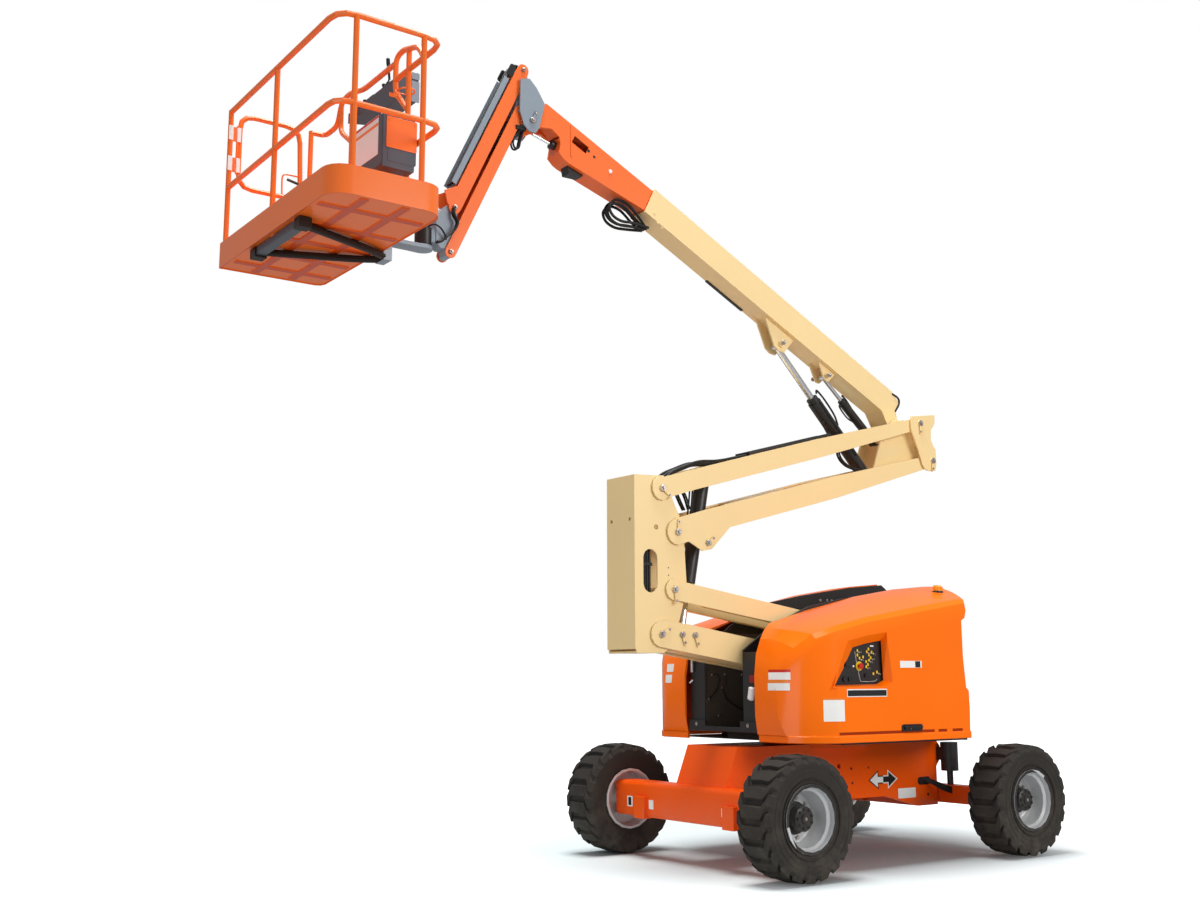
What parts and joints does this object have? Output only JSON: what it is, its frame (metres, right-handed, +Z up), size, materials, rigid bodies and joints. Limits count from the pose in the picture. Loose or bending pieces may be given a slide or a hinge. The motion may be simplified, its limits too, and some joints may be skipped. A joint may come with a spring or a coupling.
{
  "type": "articulating boom lift",
  "caption": "Articulating boom lift: four-wheeled chassis, slewing turntable with hinged hoods, four-arm tower, telescopic boom, parallel jib and a rotating railed work platform.",
  "frame": {"origin": "on the ground under the middle of the machine's overall length and width, as parked with the tower and boom part raised", "axes": "X runs along the machine, with the work platform towards -X and the steering axle towards +X; Y runs across it, with its left side at -Y; Z is up"},
  "size_m": [6.237, 2.342, 5.776],
  "materials": {
    "beacon_amber": "gloss",
    "black_paint": "satin",
    "cream_paint": "gloss",
    "grey_paint": "satin",
    "orange_paint": "gloss",
    "rim_silver": "satin",
    "rod_chrome": "polished",
    "slate_paint": "satin",
    "tyre_rubber": "matte"
  },
  "bodies": {
    "chassis": {"chassis_frame": "orange_paint", "swing_bearing": "black_paint", "steer_axle_beam": "orange_paint", "oscillation_cylinder_left": "black_paint", "oscillation_cylinder_right": "black_paint"},
    "steer_left": {"steer_knuckle_left": "black_paint"},
    "steer_right": {"steer_knuckle_right": "black_paint"},
    "wheel_fixed_left": {"tyre_fixed_left": "tyre_rubber", "rim_fixed_left": "rim_silver"},
    "wheel_fixed_right": {"tyre_fixed_right": "tyre_rubber", "rim_fixed_right": "rim_silver"},
    "wheel_steer_left": {"tyre_steer_left": "tyre_rubber", "rim_steer_left": "rim_silver"},
    "wheel_steer_right": {"tyre_steer_right": "tyre_rubber", "rim_steer_right": "rim_silver"},
    "turntable": {"turntable_base": "black_paint", "side_frame_left": "black_paint", "side_frame_right": "black_paint", "counterweight": "orange_paint", "engine_block": "black_paint", "hydraulic_tank": "black_paint", "valve_block": "black_paint", "ground_control_panel": "black_paint"},
    "hood_left": {"hood_left": "orange_paint", "beacon": "beacon_amber"},
    "hood_right": {"hood_right": "orange_paint"},
    "lower_arm": {"lower_arm_main": "cream_paint"},
    "lower_link": {"lower_arm_link": "cream_paint"},
    "upright": {"tower_upright": "cream_paint"},
    "upper_arm": {"upper_arm_main": "cream_paint"},
    "upper_link": {"upper_arm_link": "cream_paint"},
    "knuckle": {"boom_knuckle": "cream_paint"},
    "tower_barrel": {"tower_cylinder_barrel": "black_paint"},
    "tower_rod": {"tower_cylinder_rod": "rod_chrome"},
    "base_boom": {"base_boom": "cream_paint"},
    "fly_boom": {"fly_boom": "orange_paint"},
    "lift_barrel": {"lift_cylinder_barrel": "black_paint"},
    "lift_rod": {"lift_cylinder_rod": "rod_chrome"},
    "level_barrel": {"level_cylinder_barrel": "black_paint"},
    "level_rod": {"level_cylinder_rod": "rod_chrome"},
    "jib_support": {"jib_support": "grey_paint"},
    "jib_beam": {"jib_beam": "orange_paint"},
    "jib_link": {"jib_link": "orange_paint"},
    "jib_barrel": {"jib_cylinder_barrel": "black_paint"},
    "jib_rod": {"jib_cylinder_rod": "rod_chrome"},
    "jib_head": {"jib_head": "grey_paint"},
    "platform": {"platform_floor": "orange_paint", "platform_support_frame": "slate_paint", "platform_rails": "orange_paint", "control_console": "slate_paint", "manual_box": "slate_paint"},
    "gate": {"platform_gate": "orange_paint"}
  },
  "joints": [
    {"name": "turntable_swing", "type": "hinge", "parent": "chassis", "child": "turntable", "pos_m": [1.5215, 0, 0.88], "axis": [0, 0, 1], "range_deg": [-177.5, 177.5]},
    {"name": "steer_left", "type": "hinge", "parent": "chassis", "child": "steer_left", "pos_m": [2.6955, -0.742, 0.423], "axis": [0, 0, 1], "range_deg": [-35, 35]},
    {"name": "steer_right", "type": "hinge", "parent": "chassis", "child": "steer_right", "pos_m": [2.6955, 0.742, 0.423], "axis": [0, 0, 1], "range_deg": [-35.5, 35.5]},
    {"name": "wheel_fixed_left_spin", "type": "hinge", "parent": "chassis", "child": "wheel_fixed_left", "pos_m": [0.3475, -1.0095, 0.423], "axis": [0, 1, 0], "continuous": true},
    {"name": "wheel_fixed_right_spin", "type": "hinge", "parent": "chassis", "child": "wheel_fixed_right", "pos_m": [0.3475, 1.0095, 0.423], "axis": [0, 1, 0], "continuous": true},
    {"name": "wheel_steer_left_spin", "type": "hinge", "parent": "steer_left", "child": "wheel_steer_left", "pos_m": [2.6955, -1.0095, 0.423], "axis": [0, 1, 0], "continuous": true},
    {"name": "wheel_steer_right_spin", "type": "hinge", "parent": "steer_right", "child": "wheel_steer_right", "pos_m": [2.6955, 1.0095, 0.423], "axis": [0, 1, 0], "continuous": true},
    {"name": "hood_left_hinge", "type": "hinge", "parent": "turntable", "child": "hood_left", "pos_m": [1.5215, -0.25, 2], "axis": [-0.9943, 0, -0.1063], "range_deg": [0, 60]},
    {"name": "hood_right_hinge", "type": "hinge", "parent": "turntable", "child": "hood_right", "pos_m": [1.5215, 0.25, 2.048], "axis": [0.9943, 0, 0.1063], "range_deg": [0, 60]},
    {"name": "tower_lift", "type": "hinge", "parent": "turntable", "child": "lower_arm", "pos_m": [2.13124, 0, 1.32804], "axis": [0, 1, 0], "range_deg": [-17, 60]},
    {"name": "lower_link_follow", "type": "hinge", "parent": "turntable", "child": "lower_link", "pos_m": [2.25624, 0, 1.65204], "axis": [0, 1, 0], "range_deg": [-17.5, 60.5]},
    {"name": "upright_level", "type": "hinge", "parent": "lower_arm", "child": "upright", "pos_m": [-0.1435, 0, 1.668], "axis": [0, 1, 0], "range_deg": [-60.5, 17.5]},
    {"name": "upper_arm_follow", "type": "hinge", "parent": "upright", "child": "upper_arm", "pos_m": [0.0165, 0, 2.415], "axis": [0, 1, 0], "range_deg": [-36.5, 10.7]},
    {"name": "upper_link_follow", "type": "hinge", "parent": "upright", "child": "upper_link", "pos_m": [-0.1245, 0, 2.73], "axis": [0, 1, 0], "range_deg": [-36.5, 10.7]},
    {"name": "knuckle_level", "type": "hinge", "parent": "upper_arm", "child": "knuckle", "pos_m": [2.82893, 0, 3.20025], "axis": [0, 1, 0], "range_deg": [-10.7, 36.5]},
    {"name": "tower_cylinder_turn", "type": "hinge", "parent": "upper_arm", "child": "tower_barrel", "pos_m": [0.31463, 0, 2.35496], "axis": [0, 1, 0], "range_deg": [-10.98, 37.47]},
    {"name": "tower_cylinder_stroke", "type": "slide", "parent": "tower_barrel", "child": "tower_rod", "axis": [-0.1961, 0, -0.9806], "range_m": [-0.1466, 0.5048]},
    {"name": "boom_lift", "type": "hinge", "parent": "knuckle", "child": "base_boom", "pos_m": [2.4915, 0, 3.48], "axis": [0, 1, 0], "range_deg": [-30, 46]},
    {"name": "boom_telescope", "type": "slide", "parent": "base_boom", "child": "fly_boom", "axis": [-0.8957, 0, 0.4446], "range_m": [0, 1.75]},
    {"name": "lift_cylinder_turn", "type": "hinge", "parent": "knuckle", "child": "lift_barrel", "pos_m": [2.2115, 0, 3.035], "axis": [0, 1, 0], "range_deg": [-26.9, 40.98]},
    {"name": "lift_cylinder_stroke", "type": "slide", "parent": "lift_barrel", "child": "lift_rod", "axis": [-0.705, 0, 0.7092], "range_m": [-0.2511, 0.3823]},
    {"name": "level_cylinder_turn", "type": "hinge", "parent": "knuckle", "child": "level_barrel", "pos_m": [2.3315, 0, 3.34], "axis": [0, 1, 0], "range_deg": [-30.5, 46.5]},
    {"name": "level_cylinder_stroke", "type": "slide", "parent": "level_barrel", "child": "level_rod", "axis": [-0.7617, 0, 0.6479], "range_m": [-0.1117, 0.1685]},
    {"name": "jib_support_level", "type": "hinge", "parent": "fly_boom", "child": "jib_support", "pos_m": [-1.2135, 0, 5.345], "axis": [0, 1, 0], "range_deg": [-46.5, 30.5]},
    {"name": "jib_lift", "type": "hinge", "parent": "jib_support", "child": "jib_beam", "pos_m": [-1.2745, 0, 5.73], "axis": [0, 1, 0], "range_deg": [0, 140]},
    {"name": "jib_link_follow", "type": "hinge", "parent": "jib_support", "child": "jib_link", "pos_m": [-1.2995, 0, 5.405], "axis": [0, 1, 0], "range_deg": [0, 140.5]},
    {"name": "jib_head_level", "type": "hinge", "parent": "jib_beam", "child": "jib_head", "pos_m": [-1.82451, 0, 4.56645], "axis": [0, 1, 0], "range_deg": [-140.5, 0]},
    {"name": "jib_cylinder_turn", "type": "hinge", "parent": "jib_beam", "child": "jib_barrel", "pos_m": [-1.7275, 0, 4.77167], "axis": [0, 1, 0], "range_deg": [-4.08, 0]},
    {"name": "jib_cylinder_stroke", "type": "slide", "parent": "jib_barrel", "child": "jib_rod", "axis": [0.5599, 0, 0.8285], "range_m": [0, 0.6281]},
    {"name": "platform_rotate", "type": "hinge", "parent": "jib_head", "child": "platform", "pos_m": [-2.0315, 0, 4.35], "axis": [0, 0, 1], "range_deg": [-90, 90]},
    {"name": "gate_hinge", "type": "hinge", "parent": "platform", "child": "gate", "pos_m": [-3.044, 0.8805, 4.7], "axis": [0, 0, 1], "range_deg": [-90, 0]}
  ],
  "couplings": [
    {"joint": "steer_right", "follows": "steer_left", "ratio": 1},
    {"joint": "lower_link_follow", "follows": "tower_lift", "ratio": 1},
    {"joint": "upright_level", "follows": "tower_lift", "ratio": -1},
    {"joint": "upper_arm_follow", "follows": "tower_lift", "ratio": -0.6},
    {"joint": "upper_link_follow", "follows": "tower_lift", "ratio": -0.6},
    {"joint": "knuckle_level", "follows": "tower_lift", "ratio": 0.6},
    {"joint": "tower_cylinder_turn", "follows": "tower_lift", "ratio": 0.6162},
    {"joint": "tower_cylinder_stroke", "follows": "tower_lift", "m_per_rad": 0.4773},
    {"joint": "lift_cylinder_turn", "follows": "boom_lift", "ratio": 0.88},
    {"joint": "lift_cylinder_stroke", "follows": "boom_lift", "m_per_rad": 0.47},
    {"joint": "level_cylinder_turn", "follows": "boom_lift", "ratio": 1},
    {"joint": "level_cylinder_stroke", "follows": "boom_lift", "m_per_rad": 0.2037},
    {"joint": "jib_support_level", "follows": "boom_lift", "ratio": -1},
    {"joint": "jib_link_follow", "follows": "jib_lift", "ratio": 1},
    {"joint": "jib_head_level", "follows": "jib_lift", "ratio": -1},
    {"joint": "jib_cylinder_turn", "follows": "jib_lift", "ratio": -0.0256},
    {"joint": "jib_cylinder_stroke", "follows": "jib_lift", "m_per_rad": 0.255}
  ]
}
